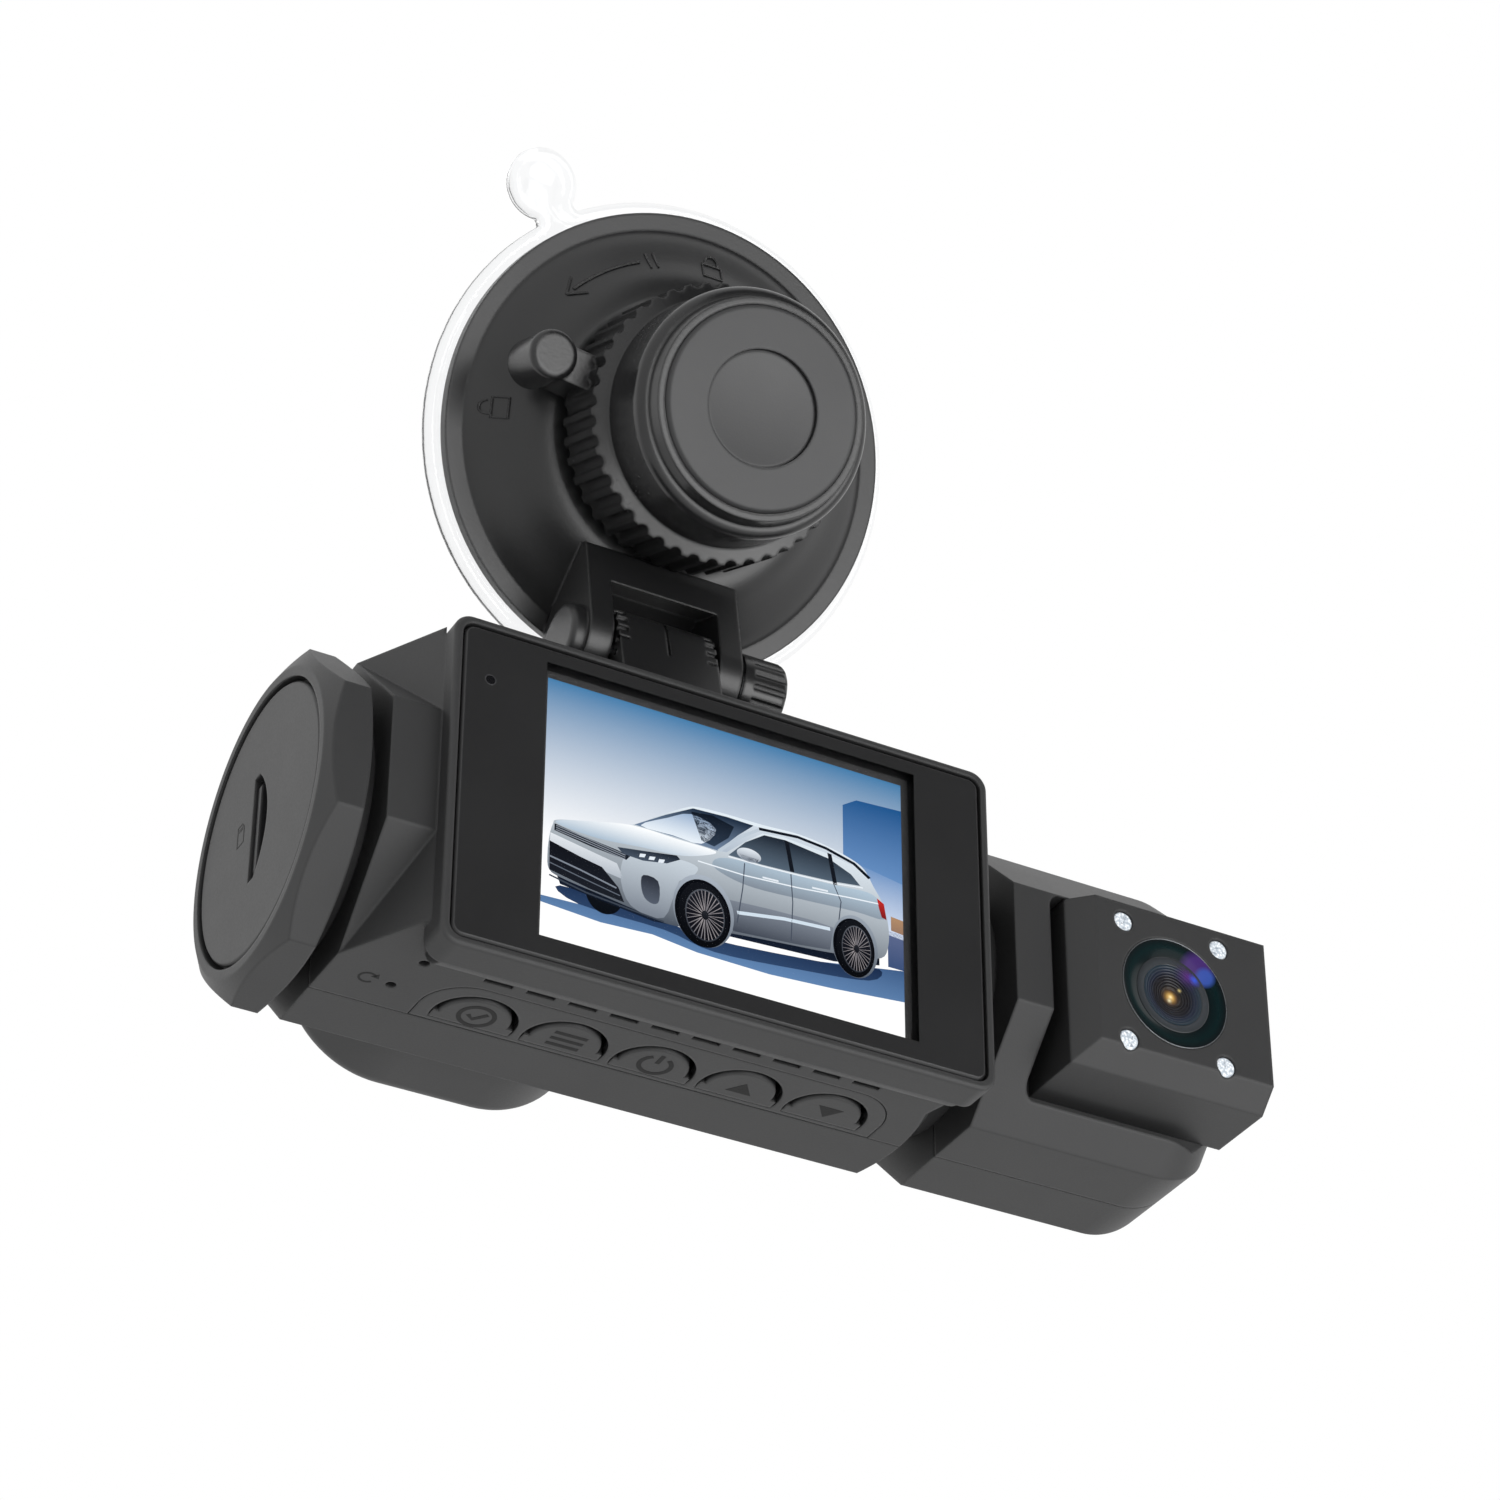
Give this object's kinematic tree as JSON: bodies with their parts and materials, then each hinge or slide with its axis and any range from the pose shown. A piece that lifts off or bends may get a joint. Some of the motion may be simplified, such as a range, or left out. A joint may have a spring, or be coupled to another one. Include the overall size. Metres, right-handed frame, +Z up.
{
  "type": "dash camera",
  "caption": "Dash camera on a windscreen suction mount: octagonal body with a screen and keys, forward lens, and a swivelling cabin camera with infrared lamps.",
  "frame": {"origin": "centre of the suction pad's face on the windscreen glass", "axes": "+X along the camera body to the driver's right, +Y out through the windscreen, +Z up"},
  "size_m": [0.1087, 0.0547, 0.1089],
  "materials": {
    "case_plastic": "matte moulded plastic, dark grey",
    "black_plastic": "satin moulded plastic, black",
    "clear_tpu": "soft clear polyurethane",
    "screen_glass": "black-printed cover glass",
    "lcd": "display panel",
    "steel": "zinc plated steel",
    "brass": "turned brass",
    "circuit_board": "green circuit board",
    "chip": "black chip package",
    "battery_wrap": "blue shrink wrap",
    "lens_black": "black lens housing",
    "lens_glass": "coated lens glass",
    "led_epoxy": "clear lamp epoxy"
  },
  "bodies": {
    "mount": {"suction_pad": "clear_tpu", "mount_base": "black_plastic", "hinge_nut": "steel"},
    "lock": {"lock_knob": "black_plastic", "drive_nut": "brass", "knob_cap": "black_plastic", "knob_inset": "black_plastic"},
    "stud": {"pull_stud": "steel", "stud_washer": "steel", "stud_screw": "steel"},
    "clamp": {"clamp_bolt": "steel", "clamp_washer": "steel", "thumb_knob": "black_plastic"},
    "camera": {"bracket": "black_plastic", "bracket_screws": "steel", "front_shell": "case_plastic", "rear_shell": "case_plastic", "shell_screws": "steel", "display_glass": "screen_glass", "lcd_panel": "lcd", "keypad_strip": "case_plastic", "button_board": "circuit_board", "button_switches": "steel", "microphone": "steel", "speaker": "black_plastic", "main_board": "circuit_board", "board_chips": "chip", "backup_battery": "battery_wrap", "usb_socket": "steel", "card_socket": "steel", "end_cap": "case_plastic", "end_disc": "case_plastic", "front_sensor": "chip", "front_barrel": "lens_black", "front_lens": "lens_glass", "front_ring": "lens_black"},
    "card": {"memory_card": "chip"},
    "reset": {"reset_button": "case_plastic"},
    "cabin": {"swivel_neck": "case_plastic", "swivel_ring": "steel", "cabin_front_shell": "case_plastic", "cabin_rear_shell": "case_plastic", "cabin_screws": "steel", "cabin_block": "case_plastic", "ir_board": "circuit_board", "ir_leds": "led_epoxy", "cabin_barrel": "lens_black", "cabin_lens": "lens_glass", "cabin_ring": "lens_black", "cabin_sensor": "chip"},
    "key_confirm": {"button_confirm": "case_plastic"},
    "key_menu": {"button_menu": "case_plastic"},
    "key_power": {"button_power": "case_plastic"},
    "key_up": {"button_up": "case_plastic"},
    "key_down": {"button_down": "case_plastic"}
  },
  "joints": [
    {"name": "lock_turn", "type": "hinge", "parent": "mount", "child": "lock", "pos_m": [0, 0, 0], "axis": [0, 0.9063, 0.4226], "range_deg": [0, 90]},
    {"name": "stud_lift", "type": "slide", "parent": "mount", "child": "stud", "axis": [0, -0.9063, -0.4226], "range_m": [0, 0.002]},
    {"name": "clamp_turn", "type": "hinge", "parent": "mount", "child": "clamp", "pos_m": [0, 0.00015, -0.02895], "axis": [1, 0, 0], "range_deg": [0, 180]},
    {"name": "camera_tilt", "type": "hinge", "parent": "mount", "child": "camera", "pos_m": [0, 0.00015, -0.02895], "axis": [1, 0, 0], "range_deg": [-50, 30]},
    {"name": "card_eject", "type": "slide", "parent": "camera", "child": "card", "axis": [-1, 0, 0], "range_m": [0, 0.004]},
    {"name": "reset_press", "type": "slide", "parent": "camera", "child": "reset", "axis": [0, 0, 1], "range_m": [0, 0.0003], "stiffness_N_per_m": 400},
    {"name": "cabin_swivel", "type": "hinge", "parent": "camera", "child": "cabin", "pos_m": [0.05, 0.001, -0.0622], "axis": [1, 0, 0], "range_deg": [-90, 90]},
    {"name": "confirm_press", "type": "hinge", "parent": "camera", "child": "key_confirm", "pos_m": [-0.0192, 0.00033, -0.0787], "axis": [-1, 0, 0], "range_deg": [0, 6], "stiffness_Nm_per_rad": 0.02},
    {"name": "menu_press", "type": "hinge", "parent": "camera", "child": "key_menu", "pos_m": [-0.00924, 0.00033, -0.0787], "axis": [-1, 0, 0], "range_deg": [0, 6], "stiffness_Nm_per_rad": 0.02},
    {"name": "power_press", "type": "hinge", "parent": "camera", "child": "key_power", "pos_m": [0.00072, 0.00033, -0.0787], "axis": [-1, 0, 0], "range_deg": [0, 6], "stiffness_Nm_per_rad": 0.02},
    {"name": "up_press", "type": "hinge", "parent": "camera", "child": "key_up", "pos_m": [0.01068, 0.00033, -0.0787], "axis": [-1, 0, 0], "range_deg": [0, 6], "stiffness_Nm_per_rad": 0.02},
    {"name": "down_press", "type": "hinge", "parent": "camera", "child": "key_down", "pos_m": [0.02064, 0.00033, -0.0787], "axis": [-1, 0, 0], "range_deg": [0, 6], "stiffness_Nm_per_rad": 0.02}
  ],
  "couplings": [
    {"joint": "stud_lift", "follows": "lock_turn", "m_per_rad": 0.0012732}
  ]
}
